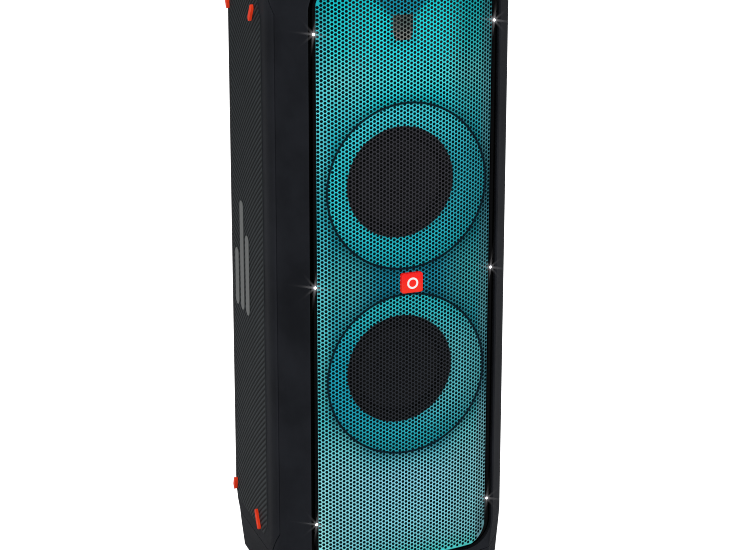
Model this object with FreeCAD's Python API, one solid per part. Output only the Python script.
import FreeCAD, Part
import math
import os
from FreeCAD import Placement, Rotation, Vector

# Large mains-powered party tower: two 8 in midrange drivers and a horn behind a
# lit front, a 12 in woofer firing down into the plinth.
# Millimetres. Origin: centre of the footprint on the floor. +X right (seen from
# the front), +Y to the rear, +Z up.

os.makedirs("parts", exist_ok=True)

# ---------------------------------------------------------------- driving sizes
TOP_Z = 1050.0
INNER_TOP_Z = 1046.0
WALL = 4.0
BACK_Y = 195.0
FAR = 300      # half width of the cutters that reach past the tower
FAR_Z = 1100

# plan outline, right half: sharp corner x, y, rounding radius
PLAN = [
    (160.3, -173.0, 6.0),       # front plane meets the corner chamfer
    (201.9, -123.3, 72.0),      # corner chamfer meets the side
    (181.05, 137.0, 25.0),      # side meets the rear bevel
    (135.0, BACK_Y, 25.0),      # rear bevel meets the back
]

# vertical profile: height, then insets of side, corner chamfer, front, back and
# rear bevel (the sides lean out by 1 mm over their height)
PROFILE = [
    (12.0, 9.5, 9.5, 7.0, 14.0, 17.5),
    (45.0, 5.5, 5.8, 2.4, 10.7, 14.0),
    (62.0, 3.5, 4.8, 0.0, 9.0, 12.5),
    (77.0, 1.8, 3.9, 0.0, 7.6, 12.0),
    (92.0, 1.0, 2.4, 0.0, 5.4, 6.0),
    (118.0, 0.5, 0.0, 0.0, 0.0, 0.0),
    (982.0, -0.5, 0.0, 0.0, 0.0, 0.0),
    (1010.0, 0.3, 2.4, 0.0, 4.0, 4.5),
    (1040.0, 8.5, 7.0, 1.0, 10.0, 12.0),
    (TOP_Z, 19.5, 16.0, 9.0, 19.0, 22.0),
]

# seams of the plinth and of the top deck: arcs seen from the front
SEAM_LOW_MID, SEAM_LOW_R = 54.0, 764.0
SEAM_TOP_MID, SEAM_TOP_R = 1046.0, 1400.0
SEAM_GAP = 1.0

# side cover in the side view (y, z), clockwise with +Y to the right
SIDE_PANEL = [
    (-124, 128), (-124, 979), (-99, 1009), (-70, TOP_Z),
    (123.4, TOP_Z), (123.4, 50), (-74, 50), (-97, 89),
]
PANEL_GAP = 2.2
REAR_Y = 124.8     # front edge of the rear cover

# front openings: half width, lower z, upper z, corner radius
WINDOW = (158.2, 71.4, 1035.4, 47.6)
BORDER_OPENING = (147.0, 83.0, 1029.6, 38.0)
HORN_OPENING = (98.0, 890.0, 1014.0, 14)

# bulged front: y at the middle, fall to the edge, half width and power of the curve
GRILLE_CENTRE_Y, GRILLE_SAG, GRILLE_HALF, GRILLE_POWER = -192.6, 20.7, 146.0, 3.2
GRILLE_T = 1.2
PANEL_OFFSET, PANEL_T = 5.0, 2.0     # light panel, behind the grille's front face

MID_Z = {"lower": 396.7, "upper": 705.1}
MID_FACE_Y = -154.2
SUB_FACE_Z = 87.8
SUB_HOLE_R = 141.0
PORTS = [(-78.0, 470.0), (78.0, 470.0)]     # x, z

X_AXIS, Y_AXIS, Z_AXIS = Vector(1, 0, 0), Vector(0, 1, 0), Vector(0, 0, 1)
FACE_FRONT = Rotation(X_AXIS, 90)      # local +Z looks forward (-Y)
FACE_REAR = Rotation(X_AXIS, -90)      # local +Z looks back (+Y)
FACE_DOWN = Rotation(X_AXIS, 180)      # local +Z looks down


# ---------------------------------------------------------------- helpers
def save(name, *shapes):
    solids = []
    for shape in shapes:
        solids += shape.Solids
    out = solids[0] if len(solids) == 1 else Part.makeCompound(solids)
    out.exportStep("parts/%s.step" % name)


def box(x_min, x_max, y_min, y_max, z_min, z_max):
    return Part.makeBox(x_max - x_min, y_max - y_min, z_max - z_min, Vector(x_min, y_min, z_min))


def cyl(radius, length, start, axis=Z_AXIS):
    return Part.makeCylinder(radius, length, Vector(*start), axis)


def drill(shape, radius, places, y, length):
    """cut round holes that start at y and run rearward, at the given (x, z)"""
    for x, z in places:
        shape = shape.cut(cyl(radius, length, (x, y, z), Y_AXIS))
    return shape


def mirrored(shape):
    return shape.mirror(Vector(0, 0, 0), X_AXIS)


def both(shape):
    """shape and its mirror image across the X = 0 plane"""
    return [shape, mirrored(shape)]


def fuse(shapes):
    return shapes[0].multiFuse(shapes[1:]).removeSplitter()


def largest(shape):
    return max(shape.Solids, key=lambda solid: solid.Volume)


def polygon_face(points):
    return Part.Face(Part.makePolygon(points + [points[0]]))


def round_poly(points, place, arc_counts=None):
    """closed wire through corners (x, y, radius) given anticlockwise, each rounded;
    place maps a flat point into space, arc_counts is the number of arcs per corner"""
    count = len(points)
    corners = []
    for i in range(count):
        x, y, radius = points[i]
        last_x, last_y, _ = points[i - 1]
        next_x, next_y, _ = points[(i + 1) % count]
        arriving = Vector(x - last_x, y - last_y, 0).normalize()
        leaving = Vector(next_x - x, next_y - y, 0).normalize()
        turn = math.acos(max(-1.0, min(1.0, arriving.dot(leaving))))
        corner = Vector(x, y, 0)
        inward = (leaving - arriving).normalize()
        centre = corner + inward * (radius / math.cos(turn / 2.0))
        spoke = corner - arriving * (radius * math.tan(turn / 2.0)) - centre
        steps = 2 * (arc_counts[i] if arc_counts else 1)
        arc_points = []
        for k in range(steps + 1):
            cos, sin = math.cos(turn * k / steps), math.sin(turn * k / steps)
            rotated = Vector(spoke.x * cos - spoke.y * sin, spoke.x * sin + spoke.y * cos, 0)
            arc_points.append(place(centre + rotated))
        corners.append(arc_points)
    edges = []
    for i, pts in enumerate(corners):
        for k in range(0, len(pts) - 1, 2):
            edges.append(Part.Arc(pts[k], pts[k + 1], pts[k + 2]).toShape())
        edges.append(Part.makeLine(pts[-1], corners[(i + 1) % count][0]))
    return Part.Wire(edges)


def shift_edges(points, shifts):
    """corners of a closed polygon after edge i moves shifts[i] to its left"""
    lines = []
    for i, (x, y) in enumerate(points):
        next_x, next_y = points[(i + 1) % len(points)]
        length = math.hypot(next_x - x, next_y - y)
        dir_x, dir_y = (next_x - x) / length, (next_y - y) / length
        lines.append((x - dir_y * shifts[i], y + dir_x * shifts[i], dir_x, dir_y))
    corners = []
    for i, (x2, y2, dir_x2, dir_y2) in enumerate(lines):
        x1, y1, dir_x1, dir_y1 = lines[i - 1]
        det = dir_x1 * (-dir_y2) + dir_x2 * dir_y1
        along = ((x2 - x1) * (-dir_y2) + dir_x2 * (y2 - y1)) / det
        corners.append((x1 + dir_x1 * along, y1 + dir_y1 * along))
    return corners


def outline(z, side, chamfer, front, back, bevel, extra=0.0):
    """plan outline at height z with the given insets, plus extra all round"""
    points = PLAN + [(-x, y, radius) for x, y, radius in reversed(PLAN)]
    insets = [chamfer, side, bevel, back, bevel, side, chamfer, front]
    moved = shift_edges([(x, y) for x, y, _ in points], [inset + extra for inset in insets])
    rounded = [(x, y, max(1.0, point[2] - extra)) for (x, y), point in zip(moved, points)]
    # the large cheek corners are made of five arcs each
    arc_counts = [5 if radius > 60 else 1 for _, _, radius in points]
    return round_poly(rounded, lambda p: Vector(p.x, p.y, z), arc_counts)


def hull(extra=0.0, bottom_z=None, top_z=None):
    """the tapered tower as one solid, drawn in by extra on every side"""
    rows = list(PROFILE)
    if bottom_z is not None:
        rows[0] = (bottom_z,) + rows[0][1:]
    if top_z is not None:
        below, top = rows[-2:]
        share = (top_z - below[0]) / (top[0] - below[0])
        rows[-1] = [top_z] + [below[j] + (top[j] - below[j]) * share for j in range(1, 6)]
    return Part.makeLoft([outline(*row, extra=extra) for row in rows], True, True)


def plan_block(z_min, z_max, inset):
    """upright block with the tower's plan outline drawn in by inset"""
    face = Part.Face(outline(z_min, 0, 0, 0, 0, 0, extra=inset))
    return face.extrude(Vector(0, 0, z_max - z_min))


def prism_x(points, x_min, x_max):
    """polygon in the side view (y, z), extruded from x_min to x_max"""
    face = polygon_face([Vector(x_min, y, z) for y, z in points])
    return face.extrude(Vector(x_max - x_min, 0, 0))


def rect_wire(half_x, z_min, z_max, radius, y, x_mid=0.0):
    """rounded rectangle in the front view, at depth y"""
    left, right = x_mid - half_x, x_mid + half_x
    points = [(right, z_min, radius), (right, z_max, radius),
              (left, z_max, radius), (left, z_min, radius)]
    return round_poly(points, lambda p: Vector(p.x, y, p.y))


def slab(half_x, z_min, z_max, radius, y_min, y_max, x_mid=0.0):
    """rounded rectangle in the front view, extruded from y_min to y_max"""
    face = Part.Face(rect_wire(half_x, z_min, z_max, radius, y_min, x_mid))
    return face.extrude(Vector(0, y_max - y_min, 0))


def grown_slab(opening, growth, y_min, y_max):
    """slab of an opening's shape, widened by growth all round"""
    half_x, z_min, z_max, radius = opening
    return slab(half_x + growth, z_min - growth, z_max + growth, radius + growth, y_min, y_max)


def revolve(points, position=(0, 0, 0), rotation=Rotation()):
    """closed (radius, z) outline turned about Z, then rotated and moved"""
    face = polygon_face([Vector(radius, 0, z) for radius, z in points])
    solid = face.revolve(Vector(0, 0, 0), Z_AXIS, 360)
    solid.Placement = Placement(Vector(*position), rotation)
    return solid


def grille_y(x):
    return GRILLE_CENTRE_Y + GRILLE_SAG * (abs(x) / GRILLE_HALF) ** GRILLE_POWER


def curved_sheet(offset, thickness, clearance):
    """sheet following the bulged front, its front face offset behind the grille's,
    trimmed to the border's opening less clearance"""
    half, steps, z_min, z_max = BORDER_OPENING[0], 24, 60, 1045
    rows, curves = [], []
    for depth in (offset, offset + thickness):
        row = []
        for i in range(steps + 1):
            x = -half + 2.0 * half * i / steps
            row.append(Vector(x, grille_y(x) + depth, z_min))
        curve = Part.BSplineCurve()
        curve.interpolate(row)
        rows.append(row)
        curves.append(curve.toShape())
    left = Part.makeLine(rows[0][0], rows[1][0])
    right = Part.makeLine(rows[0][-1], rows[1][-1])
    wire = Part.Wire(Part.sortEdges([curves[0], left, curves[1], right])[0])
    sheet = Part.Face(wire).extrude(Vector(0, 0, z_max - z_min))
    return sheet.common(grown_slab(BORDER_OPENING, -clearance, -230, -150))


# ---------------------------------------------------------------- tower shell
def seam_cylinder(radius, centre_z):
    return cyl(radius, 2 * FAR, (0, -FAR, centre_z), Y_AXIS)


LOW_CENTRE_Z = SEAM_LOW_MID + SEAM_LOW_R
TOP_CENTRE_Z = SEAM_TOP_MID - SEAM_TOP_R

tower = hull()
shell = tower.cut(hull(WALL, bottom_z=-5.0, top_z=INNER_TOP_Z))
above_low_seam = seam_cylinder(SEAM_LOW_R, LOW_CENTRE_Z)
below_top_seam = seam_cylinder(SEAM_TOP_R, TOP_CENTRE_Z)
body = shell.common(above_low_seam).common(below_top_seam)
rear_half = box(-FAR, FAR, REAR_Y, FAR, 0, FAR_Z)


def front_frame():
    """corner chamfers and the narrow rails above and below the window"""
    reveal_w = 2.2
    # the side panel runs clockwise, so a shift to the left widens it
    gap = prism_x(shift_edges(SIDE_PANEL, [PANEL_GAP] * len(SIDE_PANEL)), 100, 260)
    frame = body.cut(gap).cut(mirrored(gap)).cut(rear_half)
    reveal = grown_slab(WINDOW, reveal_w, -172.9, -161.0)
    reveal = reveal.common(hull(0.05)).common(above_low_seam).common(below_top_seam)
    frame = frame.fuse(reveal).cut(grown_slab(WINDOW, 0, -230, -150))
    save("front_frame", frame.removeSplitter())


def side_covers():
    cover = body.common(prism_x(SIDE_PANEL, 100, 260))
    save("side_cover_right", cover)
    save("side_cover_left", mirrored(cover))


# ---------------------------------------------------------------- side trim
TRIM_X = (120, 260)
INSERT_H, MARK_H, SIDE_FOOT_H = 1.2, 2.0, 5.2     # heights above the tower's skin
INSERT = [(-74, 124), (-74, 965), (-50, 1000), (119, 1000), (119, 98), (-50, 98)]     # y, z
SIDE_FOOT_HALF, BAR_HALF = 5.0, 10.5
# end centres (y, z) of each rounded bar
SIDE_FEET = [
    ((-18.0, 954.5), (-30.5, 972.5)), ((-14.2, 124.4), (-26.8, 104.0)),
    ((124.5, 127.5), (130.5, 114.5)), ((121.5, 948.5), (130.5, 966.0)),
]
BARS = [((27, 464), (27, 578)), ((60, 464), (60, 628)), ((93, 464), (93, 540))]


def stadium(ends, half_width):
    """round-ended bar in the side view, extruded across the right side"""
    x_min, x_max = TRIM_X
    start, end = [Vector(x_min, y, z) for y, z in ends]
    along = (end - start).normalize() * half_width
    across = Vector(0, -along.z, along.y)
    wire = Part.Wire([
        Part.makeLine(start + across, end + across),
        Part.Arc(end + across, end + along, end - across).toShape(),
        Part.makeLine(end - across, start - across),
        Part.Arc(start - across, start - along, start + across).toShape(),
    ])
    return Part.Face(wire).extrude(Vector(x_max - x_min, 0, 0))


def side_trim():
    insert_skin = hull(-INSERT_H)
    insert = insert_skin.cut(tower).common(prism_x(INSERT, *TRIM_X))
    save("side_inserts", *both(insert))

    # rubber feet for lying the tower down, near the four corners of each side
    foot_layer = hull(-SIDE_FOOT_H).cut(tower)
    feet = []
    for ends in SIDE_FEET:
        feet += both(foot_layer.common(stadium(ends, SIDE_FOOT_HALF)).cut(insert))
    save("side_feet", *feet)

    # generic level meter, three upright bars
    mark_layer = hull(-MARK_H).cut(insert_skin)
    marks = []
    for ends in BARS:
        marks += both(mark_layer.common(stadium(ends, BAR_HALF)))
    save("side_marks", *marks)


# ---------------------------------------------------------------- rear cover
POCKET = (-82, 82, 142, 922, 1006)     # outer x_min, x_max, y_min, z_min, z_max
SCREWS = [(x, z) for z in (240, 400, 600, 760, 910) for x in (-118, 118)]
SCREWS += [(-60, 100), (60, 100)]
SCREW_SINK = 2.4


def rear_skin_y(z):
    """y of the back wall, which slopes in from z = 118 to z = 92"""
    return BACK_Y - max(0, 118 - z) * 5.4 / 26.0


def rear_cover():
    """back wall with handle pocket, connection and mains recesses and port holes"""
    x_min, x_max, y_min, z_min, z_max = POCKET
    cover = body.common(rear_half)
    cover = cover.fuse(box(x_min, x_max, y_min, 192.5, z_min, z_max))
    cover = cover.cut(box(x_min + WALL, x_max - WALL, y_min + WALL, 230,
                          z_min + WALL, z_max - WALL)).removeSplitter()
    cover = cover.cut(slab(90, 640, 860, 8, 185, 230))
    cover = cover.cut(slab(30, 140, 204, 4, 185, 230))
    cover = drill(cover, 46.3, PORTS, 180, 40)
    for x, z in SCREWS:
        cover = drill(cover, 5.2, [(x, z)], rear_skin_y(z) - SCREW_SINK, 20)
    save("rear_cover", cover)


def rear_screws():
    """cylindrical heads with hexagon sockets"""
    socket_r = 2.0
    heads = []
    for x, z in SCREWS:
        y = rear_skin_y(z)
        head = cyl(4.7, 2.2, (x, y - SCREW_SINK, z), Y_AXIS)
        hexagon = []
        for k in range(6):
            angle = math.radians(60 * k)
            hexagon.append(Vector(x + socket_r * math.cos(angle), y - 1.4,
                                  z + socket_r * math.sin(angle)))
        heads.append(head.cut(polygon_face(hexagon).extrude(Vector(0, 4, 0))))
    save("rear_screws", *heads)


def handle_bar():
    """bar across the pocket, drawn along Y and turned to lie along X"""
    bar = slab(9.0, 977, 1001.2, 8.0, -77.8, 77.8)
    bar.Placement = Placement(Vector(0, 183.0, 0), Rotation(Z_AXIS, 90))
    save("handle_bar", bar)


# ---------------------------------------------------------------- plinth
# x, y, boss radius, foot radius (right half)
BASE_FEET = [(120, -118, 18.0, 17.0), (88, 134, 12.0, 11.5)]
POSTS = [(150, -113), (143, 131)]
WHEEL_X, WHEEL_Y, WHEEL_Z, AXLE_R = 116.0, 156.0, 38.0, 5.0
AXLE_HALF = 136
PLATE_Z = (46, 52)


def base_plinth():
    plinth_wall = shell.cut(seam_cylinder(SEAM_LOW_R + SEAM_GAP, LOW_CENTRE_Z))
    plate = hull(3.9).common(box(-FAR, FAR, -FAR, FAR, *PLATE_Z))
    plate = plate.cut(cyl(SUB_HOLE_R, 40, (0, 0, 30)))
    extras = [plate]
    for x, y, boss_r, _ in BASE_FEET:
        extras += both(cyl(boss_r, 40.0, (x, y, 12)))
    for x, y in POSTS:
        extras += both(cyl(8, 45.8, (x, y, PLATE_Z[0])))
    # wheel housings, hollowed out after joining
    extras += both(box(99.5, 132.5, 113, 177, 12, 77).common(hull(4.6)))
    plinth = plinth_wall.fuse(extras)
    for well in both(box(102.5, 129.5, 116, 240, -5, 74)):
        plinth = plinth.cut(well)
    plinth = plinth.cut(cyl(AXLE_R + 0.03, 300, (-150, WHEEL_Y, WHEEL_Z), X_AXIS))
    save("base_plinth", largest(plinth.removeSplitter()))


def base_feet():
    height, chamfer = 12, 1.5
    feet = []
    for x, y, _, radius in BASE_FEET:
        profile = [(0, 0), (radius - chamfer, 0), (radius, chamfer), (radius, height), (0, height)]
        feet += both(revolve(profile, (x, y, 0)))
    save("base_feet", *feet)


def woofer_guard():
    """rings and six spokes under the woofer"""
    z_min, z_max = 41.9, 45.9
    pieces = []
    for radius, width in ((20, 4), (48, 4), (76, 4), (104, 4), (133, 10)):
        pieces.append(revolve([(radius, z_min), (radius + width, z_min),
                               (radius + width, z_max), (radius, z_max)]))
    for k in range(6):
        spoke = box(18, 136, -3, 3, z_min, z_max)
        spoke.rotate(Vector(0, 0, 0), Z_AXIS, 60 * k)
        pieces.append(spoke)
    pieces.append(cyl(22, z_max - z_min, (0, 0, z_min)))
    save("woofer_guard", fuse(pieces))


def wheels():
    # radius, place along the axle
    profile = [
        (5.06, -11), (12, -11), (12, -7), (27, -6), (27, -11), (31, -11), (34, -8),
        (34, 8), (31, 11), (27, 11), (27, 6), (12, 7), (12, 11), (5.06, 11),
    ]
    hole_r, hole_circle_r = 4.5, 19.5
    for name, x in (("wheel_right", WHEEL_X), ("wheel_left", -WHEEL_X)):
        wheel = revolve(profile, (x, WHEEL_Y, WHEEL_Z), Rotation(Y_AXIS, 90))
        holes = []
        for k in range(5):
            angle = math.radians(72 * k)
            y = WHEEL_Y + hole_circle_r * math.cos(angle)
            z = WHEEL_Z + hole_circle_r * math.sin(angle)
            holes.append(cyl(hole_r, 40, (x - 20, y, z), X_AXIS))
        save(name, wheel.cut(Part.makeCompound(holes)))
    axle = cyl(AXLE_R, 2 * AXLE_HALF, (-AXLE_HALF, WHEEL_Y, WHEEL_Z), X_AXIS)
    save("wheel_axle", fuse([axle] + both(cyl(7.5, 3, (132.9, WHEEL_Y, WHEEL_Z), X_AXIS))))


# ---------------------------------------------------------------- front window parts
STROBES = [(x, z) for x in (-149.4, 149.4) for z in (157.0, 554.0, 954.0)]
STROBE_R = 1.9
RING_R, RING_INNER_R, RING_INNER_Y, RING_T = 132.2, 91.6, -156.6, 2.2


def grille_border():
    """flat border with a raised rim round its opening"""
    back_y, rim_w = -161.0, 4.6
    border = grown_slab(WINDOW, -0.3, -165.0, back_y)
    border = border.fuse(grown_slab(BORDER_OPENING, rim_w, -173.2, back_y))
    border = border.cut(grown_slab(BORDER_OPENING, 0, -200, -150)).removeSplitter()
    save("grille_border", drill(border, STROBE_R + 0.05, STROBES, -175.6, 6.4))


def strobe_leds():
    profile = [(0, 0), (STROBE_R, 0), (STROBE_R, 4.0), (STROBE_R - 0.7, 4.9), (0, 5.2)]
    save("strobe_leds", *[revolve(profile, (x, -169.3, z), FACE_FRONT) for x, z in STROBES])


def grille_and_light_panel():
    save("front_grille", curved_sheet(0.0, GRILLE_T, clearance=0.4))
    panel = curved_sheet(PANEL_OFFSET, PANEL_T, clearance=2.0)
    panel = drill(panel, RING_R + 0.6, [(0, z) for z in MID_Z.values()], -230, 100)
    save("light_panel", panel.cut(grown_slab(HORN_OPENING, 0, -230, -150)))


def ring_light(name, z_mid):
    """dished ring from a flat inner edge to an outer edge on the light panel"""
    count = 48

    def loop(radius, edge_y):
        points = []
        for k in range(count):
            angle = 2 * math.pi * k / count
            x = radius * math.cos(angle)
            points.append(Vector(x, edge_y(x), z_mid + radius * math.sin(angle)))
        curve = Part.BSplineCurve()
        curve.interpolate(Points=points, PeriodicFlag=True)
        return curve.toShape()

    inner_front = loop(RING_INNER_R, lambda x: RING_INNER_Y)
    inner_back = loop(RING_INNER_R, lambda x: RING_INNER_Y + RING_T)
    outer_front = loop(RING_R, lambda x: grille_y(x) + PANEL_OFFSET)
    outer_back = loop(RING_R, lambda x: grille_y(x) + PANEL_OFFSET + RING_T)
    skin = Part.makeShell([
        Part.makeRuledSurface(inner_front, outer_front),
        Part.makeRuledSurface(inner_back, outer_back),
        Part.makeRuledSurface(inner_front, inner_back),
        Part.makeRuledSurface(outer_front, outer_back),
    ])
    skin.sewShape()
    solid = Part.makeSolid(skin)
    if solid.Volume < 0:
        solid.reverse()
    save(name, solid)


def badge():
    """plain rounded plate with a raised ring"""
    x, front_y, z_min, z_max = 3.5, -199.8, 536.0, 568.0
    plate = slab(18.0, z_min, z_max, 4.0, front_y, -192.7, x_mid=x)
    front_edges = [e for e in plate.Edges if abs(e.BoundBox.YMin - front_y) < 1e-4
                   and abs(e.BoundBox.YMax - front_y) < 1e-4]
    plate = plate.makeFillet(1.4, front_edges)
    ring = revolve([(6.2, 0), (9.2, 0), (9.2, 1.1), (6.2, 1.1)],
                   (x, front_y + 0.1, (z_min + z_max) / 2), FACE_FRONT)
    save("badge", plate.fuse(ring).removeSplitter())


# ---------------------------------------------------------------- horn
MOUTH = (92.0, 896.0, 1008.0)      # half width, lower z, upper z
THROAT = (16.5, 932.0, 972.0)
HORN_Y = (-176.0, -148.0)          # mouth and throat ends of the flare


def flare(growth, y_mouth, y_throat, steps=6):
    """solid tapering from mouth to throat, widened by growth"""
    sections = []
    for k in range(steps + 1):
        share = k / steps
        ease = (1 - share) ** 1.7
        half_x = THROAT[0] + (MOUTH[0] - THROAT[0]) * ease + growth
        z_min = THROAT[1] - (THROAT[1] - MOUTH[1]) * ease - growth
        z_max = THROAT[2] + (MOUTH[2] - THROAT[2]) * ease + growth
        radius = min(half_x, (z_max - z_min) / 2.0) * 0.35
        y = y_mouth + (y_throat - y_mouth) * share
        sections.append(rect_wire(half_x, z_min, z_max, radius, y))
    return Part.makeLoft(sections, True, True)


def horn():
    y_mouth, y_throat = HORN_Y
    cut_y = (-176.2, -147.8)
    wide_cut = flare(1.0, *cut_y)
    walls = flare(3.0, *HORN_Y).cut(flare(0.0, *cut_y))
    lip = slab(112, 880, 1024, 12, y_mouth, -173.0).cut(wide_cut)
    throat = slab(19.5, 929, 975, 8, y_throat, -132.0)
    throat = throat.cut(slab(*THROAT, 6, -149.0, -130.0))
    flange = slab(48, 912, 992, 10, -153.0, -150.1).cut(wide_cut)
    flange = flange.cut(slab(17, 931, 973, 6, -154, -149))
    save("horn", largest(fuse([walls, lip, throat, flange])))


def compression_driver():
    profile = [(0, 0), (30, 0), (30, -8), (44, -8), (44, -34), (38, -40), (38, -52), (0, -52)]
    save("compression_driver", revolve(profile, (0, -131.8, 952), FACE_FRONT))


# ---------------------------------------------------------------- enclosure
BOX_INSET = 13.0       # from the tower's plan outline
BOX_Z = (92.0, 1012.0)


def enclosure():
    """open-fronted inner box with openings for woofer, recesses and ports"""
    z_min, z_max = BOX_Z
    case = plan_block(z_min, z_max, BOX_INSET)
    case = case.cut(plan_block(z_min + 12, z_max - 12, BOX_INSET + 10.0))
    case = case.cut(box(-FAR, FAR, -FAR, -138, 0, FAR_Z))
    case = case.cut(cyl(SUB_HOLE_R, 60, (0, 0, 80)))
    case = case.cut(box(-100, 100, 150, 200, 630, 872))
    case = case.cut(box(-86, 86, 138, 200, 918, 1020))
    case = case.cut(box(-34, 34, 150, 200, 136, 208))
    save("enclosure", drill(case, 40.2, PORTS, 150, 60))


def baffle():
    board = plan_block(*BOX_Z, BOX_INSET).common(box(-FAR, FAR, -150, -138.1, 0, FAR_Z))
    board = drill(board, 92.6, [(0, z) for z in MID_Z.values()], -170, 60)
    board = board.cut(slab(22, 926, 978, 6, -170, -130))
    save("baffle", board.cut(cyl(SUB_HOLE_R, 22, (0, 0, 90))))


def bass_ports():
    profile = [(37, -130), (40, -130), (40, -4.2), (46, -4.2), (46, 0), (43, 0), (39, -4), (37, -9)]
    save("bass_ports", *[revolve(profile, (x, BACK_Y, z), FACE_REAR) for x, z in PORTS])


# ---------------------------------------------------------------- loudspeaker drivers
class Driver:
    """cone driver, local +Z towards the listener, flange face at z = 0"""

    def __init__(self, position, rotation):
        self.position = position
        self.rotation = rotation
        self.shelf_r = self.magnet_r * 0.86
        # the cone's slope changes at this radius
        self.bend_r = self.roll_in_r * 0.62

    def turned(self, points):
        return revolve(points, self.position, self.rotation)

    def frame(self):
        """pressed frame with windows"""
        magnet_r, shelf_r, floor_z = self.magnet_r, self.shelf_r, -self.basket_depth
        lip_r, flange_r, wall_r = self.roll_out_r + 0.6, self.flange_r, self.basket_r
        floor_r, shelf_z = self.coil_r + 6, -self.cone_depth - 9.4
        flange = revolve([(lip_r, -4), (flange_r, -4), (flange_r, -0.6),
                          (flange_r - 0.6, 0), (lip_r, 0)])
        wall = revolve([(wall_r - 4.4, -4), (wall_r - 1.2, -4),
                        (magnet_r + 1.5, floor_z), (magnet_r - 1.5, floor_z)])
        floor = revolve([(floor_r, floor_z - 3), (magnet_r + 1.5, floor_z - 3),
                         (magnet_r + 1.5, floor_z), (floor_r, floor_z)])
        shelf = revolve([(shelf_r, floor_z), (shelf_r + 3, floor_z),
                         (shelf_r + 3, shelf_z), (shelf_r, shelf_z)])
        frame = fuse([flange, wall, floor, shelf])
        half_window = math.pi * magnet_r / self.windows * 0.55
        for k in range(self.windows):
            window = Part.makeBox(wall_r, 2 * half_window, self.basket_depth * 0.52,
                                  Vector(magnet_r * 0.6 + 12, -half_window, floor_z * 0.82))
            window.rotate(Vector(0, 0, 0), Z_AXIS, 360.0 * k / self.windows)
            # the windows leave the spider shelf whole
            frame = frame.cut(window.cut(cyl(shelf_r + 3.2, 400, (0, 0, -300))))
        frame = largest(frame)
        frame.Placement = Placement(Vector(*self.position), self.rotation)
        return frame

    def cone_and_former(self):
        coil_r, roll_in_r, bend_r = self.coil_r, self.roll_in_r, self.bend_r
        neck_z, bend_z = -self.cone_depth, -self.cone_depth * 0.42
        former_z = -self.basket_depth - 8
        cone = self.turned([(coil_r + 0.2, neck_z), (coil_r + 1.6, neck_z), (bend_r, bend_z),
                            (roll_in_r + 1.0, -0.1), (roll_in_r - 1.0, -0.1),
                            (bend_r - 1.4, bend_z + 0.6)])
        former = self.turned([(coil_r, former_z), (coil_r + 0.8, former_z),
                              (coil_r + 0.8, neck_z - 0.05), (coil_r, neck_z - 0.05)])
        return [cone, former]

    def dust_cap(self):
        """spherical cap, 1 mm thick"""
        cap_r = self.coil_r * 1.28
        height, steps = cap_r * 0.36, 10
        cone_share = (cap_r - self.coil_r) / (self.bend_r - self.coil_r)
        base_z = -self.cone_depth + cone_share * self.cone_depth * 0.58 + 1.8
        sphere_r = (cap_r * cap_r + height * height) / (2 * height)
        front = []
        for k in range(steps + 1):
            radius = cap_r * (1 - k / steps)
            rise = math.sqrt(sphere_r * sphere_r - radius * radius)
            front.append((radius, base_z + height - sphere_r + rise))
        return self.turned(front + [(radius, z - 1.0) for radius, z in reversed(front)])

    def suspension(self):
        """half-roll surround with flat lips, and corrugated spider"""
        out_r, in_r = self.roll_out_r, self.roll_in_r
        half, mid_r, steps = (out_r - in_r) / 2.0, (out_r + in_r) / 2.0, 12
        upper, lower = [], []
        for k in range(steps + 1):
            cos, sin = math.cos(math.pi * k / steps), math.sin(math.pi * k / steps)
            z = (half + 0.5) * sin
            # the roll's upper face ends on top of the lips
            upper.append((mid_r + (half + 0.5) * cos, max(z, 1.0) if k in (0, steps) else z))
            lower.append((mid_r + (half - 0.5) * cos, (half - 0.5) * sin))
        surround = self.turned([(out_r + 5.0, 0.0), (out_r + 5.0, 1.0)] + upper
                               + [(in_r - 4.0, 1.0), (in_r - 4.0, 0.0)] + lower[::-1])

        spider_z, steps = -self.cone_depth - 8.4, 16
        start_r, end_r = self.coil_r + 0.85, self.shelf_r + 2.5
        top = []
        for k in range(steps + 1):
            ridge = 1.4 if k % 2 and 0 < k < steps - 2 else 0.0
            top.append((start_r + (end_r - start_r) * k / steps, spider_z + ridge))
        spider = self.turned(top + [(radius, z - 0.8) for radius, z in reversed(top)])
        return [surround, spider]

    def motor(self):
        """top plate, magnet ring, and pole with back plate"""
        coil_r, magnet_r, top_z = self.coil_r, self.magnet_r, -self.basket_depth - 3.02
        plate_r, pole_r, ring_r = magnet_r - 4, coil_r - 1.0, coil_r + 6.0
        ring_z = top_z - 6 - self.magnet_h
        yoke_z = top_z - 6.04 - self.magnet_h
        plate = self.turned([(coil_r + 2.0, top_z - 6), (plate_r, top_z - 6),
                             (plate_r, top_z), (coil_r + 2.0, top_z)])
        ring = self.turned([(ring_r, ring_z), (magnet_r, ring_z),
                            (magnet_r, top_z - 6.02), (ring_r, top_z - 6.02)])
        yoke = self.turned([(0, yoke_z - 7), (plate_r, yoke_z - 7), (plate_r, yoke_z),
                            (pole_r, yoke_z), (pole_r, top_z + 0.5), (0, top_z + 0.5)])
        return [plate, ring, yoke]


class Midrange(Driver):
    flange_r, basket_r, basket_depth = 104.0, 92.0, 48.0
    roll_out_r, roll_in_r, cone_depth = 86.0, 72.0, 30.0
    coil_r, magnet_r, magnet_h = 19.0, 56.0, 20.0
    windows = 4


class Woofer(Driver):
    flange_r, basket_r, basket_depth = 155.0, SUB_HOLE_R, 74.0
    roll_out_r, roll_in_r, cone_depth = 138.0, 118.0, 50.0
    coil_r, magnet_r, magnet_h = 37.0, 82.0, 26.0
    windows = 6


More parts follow.
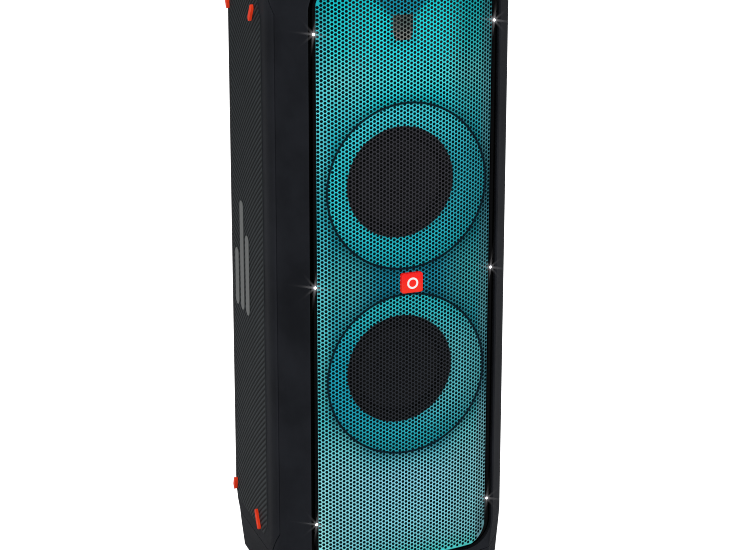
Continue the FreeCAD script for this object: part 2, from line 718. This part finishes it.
def drivers():
    for label, z in MID_Z.items():
        mid = Midrange((0, MID_FACE_Y, z), FACE_FRONT)
        save("mid_%s_frame" % label, mid.frame())
        save("mid_%s_cone" % label, *mid.cone_and_former(), mid.dust_cap())
        save("mid_%s_suspension" % label, *mid.suspension())
        save("mid_%s_motor" % label, *mid.motor())
    woofer = Woofer((0, 0, SUB_FACE_Z), FACE_DOWN)
    save("woofer_frame", woofer.frame())
    save("woofer_cone", *woofer.cone_and_former())
    save("woofer_dust_cap", woofer.dust_cap())
    save("woofer_suspension", *woofer.suspension())
    save("woofer_motor", *woofer.motor())


# ---------------------------------------------------------------- top deck and controls
DECK_X, DECK_Y0, DECK_Y1 = 122.0, -122.0, 46.0
KNOB_X, KNOB_Y, KNOB_SHAFT_R = 0.0, -22.0, 5.0
BUTTON_R, BUTTON_Y = 8.0, 26.0
BUTTONS = {"power_button": -98.0, "pairing_button": -70.0,
           "play_button": 70.0, "light_button": 98.0}     # x
PADS = {"drum_pad_left": -80.0, "drum_pad_right": 80.0}     # x
PAD_Y, PAD_HALF_X, PAD_HALF_Y = -74.0, 30, 25


def top_deck():
    deck = shell.cut(seam_cylinder(SEAM_TOP_R + SEAM_GAP, TOP_CENTRE_Z))
    # the deck is what lies outside the top seam; the tray is sunk into it
    deck = deck.fuse(box(-DECK_X - 3, DECK_X + 3, DECK_Y0 - 3, DECK_Y1 + 3, 1031, 1046.5))
    deck = deck.cut(box(-DECK_X, DECK_X, DECK_Y0, DECK_Y1, 1034, 1060)).removeSplitter()
    save("top_deck", largest(deck))


def pad_box(x, clearance, z_min, z_max):
    half_x, half_y = PAD_HALF_X + clearance, PAD_HALF_Y + clearance
    return box(x - half_x, x + half_x, PAD_Y - half_y, PAD_Y + half_y, z_min, z_max)


def control_panel():
    gap = 0.4
    panel = box(-DECK_X + gap, DECK_X - gap, DECK_Y0 + gap, DECK_Y1 - gap, 1037.5, 1041.0)
    panel = panel.cut(cyl(KNOB_SHAFT_R + gap, 30, (KNOB_X, KNOB_Y, 1030)))
    for x in BUTTONS.values():
        panel = panel.cut(cyl(BUTTON_R + gap, 30, (x, BUTTON_Y, 1030)))
    for x in PADS.values():
        panel = panel.cut(pad_box(x, gap, 1030, 1060))
    standoffs = [cyl(4, 3.5, (x, y, 1034.02)) for x in (-112, 112) for y in (-112, 36)]
    save("control_panel", fuse([panel] + standoffs))


def volume_knob():
    knob = revolve([
        (0, 1036.0), (KNOB_SHAFT_R, 1036.0), (KNOB_SHAFT_R, 1042.2), (27, 1042.2), (28, 1043.2),
        (28, 1049.0), (26, 1052.0), (22, 1053.0), (8, 1052.0), (0, 1051.6),
    ], (KNOB_X, KNOB_Y, 0))
    flutes = []
    for k in range(30):
        angle = math.radians(12 * k)
        flutes.append(cyl(1.0, 8, (KNOB_X + 28.3 * math.cos(angle),
                                   KNOB_Y + 28.3 * math.sin(angle), 1044.4)))
    save("volume_knob", knob.cut(Part.makeCompound(flutes)))


def buttons_and_pads():
    profile = [(0, 1037.0), (BUTTON_R, 1037.0), (BUTTON_R, 1043.0), (BUTTON_R - 0.8, 1043.8),
               (BUTTON_R - 3, 1043.4), (0, 1043.1)]
    for name, x in BUTTONS.items():
        save(name, revolve(profile, (x, BUTTON_Y, 0)))
    for name, x in PADS.items():
        pad = pad_box(x, 0, 1037.2, 1044.2)
        pad = pad.makeFillet(3.0, [e for e in pad.Edges if abs(e.BoundBox.ZLength - 7.0) < 1e-6])
        pad = pad.makeFillet(1.0, [e for e in pad.Edges if e.BoundBox.ZMin > 1044.1])
        save(name, pad)


# ---------------------------------------------------------------- rear connections
IO_Y = 187.0
JACKS = [(-60, 812), (-30, 812)]     # x, z
JACK_R = 9.0
SOCKETS = [(x, 700) for x in (-54, -18, 18, 54)]
GAINS = {"mic_gain_knob": (18.0, 812.0), "guitar_gain_knob": (54.0, 812.0)}
HINGE_Y, HINGE_Z = 194.1, 652.0


def io_panel():
    panel = slab(94, 636, 864, 10, IO_Y, 190.9)
    panel = drill(panel, JACK_R, JACKS, 170, 30)
    panel = drill(panel, 3.1, GAINS.values(), 170, 30)
    save("io_panel", drill(panel, 4.0, SOCKETS, 170, 30))


def io_jacks():
    """two large jacks and a row of four small sockets"""
    jack = [(3.2, -20.8), (JACK_R - 0.1, -20.8), (JACK_R - 0.1, 3.9), (JACK_R + 2, 3.95),
            (JACK_R + 2, 5.6), (JACK_R, 6.4), (3.2, 6.4)]
    socket = [(1.8, -12), (3.9, -12), (3.9, 3.92), (5.2, 3.95), (5.2, 4.2), (1.8, 4.2)]
    solids = [revolve(jack, (x, IO_Y, z), FACE_REAR) for x, z in JACKS]
    solids += [revolve(socket, (x, 186.98, z), FACE_REAR) for x, z in SOCKETS]
    save("io_jacks", *solids)


def gain_knobs():
    profile = [(0, -6), (3.0, -6), (3.0, 4.4), (9, 4.4), (9, 10), (8, 12.2), (0, 12.2)]
    for name, (x, z) in GAINS.items():
        knob = revolve(profile, (x, IO_Y, z), FACE_REAR)
        save(name, knob.cut(box(x - 0.7, x + 0.7, 198.4, 202, z + 1, z + 12)))


def io_flap():
    """hinged flap with barrel and finger tab, and its pin"""
    plate = slab(80, 656.5, 744, 5, 192.4, 195.4)
    barrel = cyl(2.9, 120, (-60, HINGE_Y, HINGE_Z), X_AXIS)
    web = box(-60, 60, 192.6, 195.2, HINGE_Z, 660)
    flap = fuse([plate, barrel, web]).cut(cyl(1.55, 200, (-100, HINGE_Y, HINGE_Z), X_AXIS))
    flap = flap.fuse(box(-12, 12, 192.5, 198.0, 739.5, 743.5))
    save("io_flap", flap.removeSplitter())
    save("flap_pin", cyl(1.5, 179.8, (-89.9, HINGE_Y, HINGE_Z), X_AXIS))


def mains_inlet():
    """mains inlet with rocker switch above it"""
    pivot_y, pivot_z = 187.5, 188.0
    inlet = slab(29.7, 140.3, 203.7, 3.5, 176, 193.4)
    inlet = inlet.cut(slab(13.5, 146, 168, 3, 182, 200))
    inlet = inlet.cut(box(-14, 14, 180, 200, 178, 198))
    pins = [box(x - 1, x + 1, 181.9, 190, z - 2, z + 2) for x, z in ((-7, 155), (0, 160), (7, 155))]
    inlet = fuse([inlet] + pins)
    save("mains_inlet", inlet.cut(cyl(1.56, 36, (-18, pivot_y, pivot_z), X_AXIS)))
    rocker = prism_x([(183.5, 188), (185.0, 180.2), (193.2, 179.4), (191.9, 188),
                      (193.2, 196.6), (185.0, 195.8)], -13.4, 13.4)
    rocker = rocker.fuse(cyl(1.5, 34, (-17, pivot_y, pivot_z), X_AXIS))
    save("rocker_switch", rocker.removeSplitter())


# ---------------------------------------------------------------- electronics
def post_boxes(xs, zs, y_min, y_max):
    """square 6 mm posts along Y at every x and z"""
    return [box(x - 3, x + 3, y_min, y_max, z - 3, z + 3) for x in xs for z in zs]


def amplifier_board():
    solids = [
        box(-88, 88, 164, 165.6, 646, 856),
        box(-60, -20, 158.0, 163.98, 760, 800),
        box(10, 34, 159, 163.98, 700, 724),
        box(44, 62, 159.5, 163.98, 700, 718),
    ]
    solids += [cyl(9, 26, (x, 137.95, 680), Y_AXIS) for x in (-70, -46, -22)]
    save("amplifier_board", *solids, *post_boxes((-84, 84), (650, 852), 165.62, 186.98))


def heat_sink():
    x_min, fin_pitch, fin_t = -6, 10.5, 3
    pieces = [box(x_min, 82, 156, 163.9, 744, 846)]
    for k in range(9):
        x = x_min + k * fin_pitch
        pieces.append(box(x, x + fin_t, 118, 156.5, 744, 846))
    save("heat_sink", fuse(pieces))


def power_supply():
    solids = [
        box(-80, 80, 148, 150, 214, 350),
        box(-40, 20, 112, 147.98, 250, 310),
        box(30, 72, 120, 147.98, 222, 250),
        box(-76, -50, 126, 147.98, 226, 244),
    ]
    solids += [cyl(9.5, 34, (x, 113.96, z), Y_AXIS) for x in (40, 62) for z in (290, 320)]
    save("power_supply", *solids, *post_boxes((-74, 74), (220, 344), 150.02, 171.9))


for build in (
    front_frame, side_covers, side_trim, rear_cover, rear_screws, handle_bar,
    base_plinth, base_feet, woofer_guard, wheels,
    grille_border, strobe_leds, grille_and_light_panel, badge, horn, compression_driver,
    enclosure, baffle, bass_ports, drivers,
    top_deck, control_panel, volume_knob, buttons_and_pads,
    io_panel, io_jacks, gain_knobs, io_flap, mains_inlet,
    amplifier_board, heat_sink, power_supply,
):
    build()
for label, z in MID_Z.items():
    ring_light("ring_light_" + label, z)
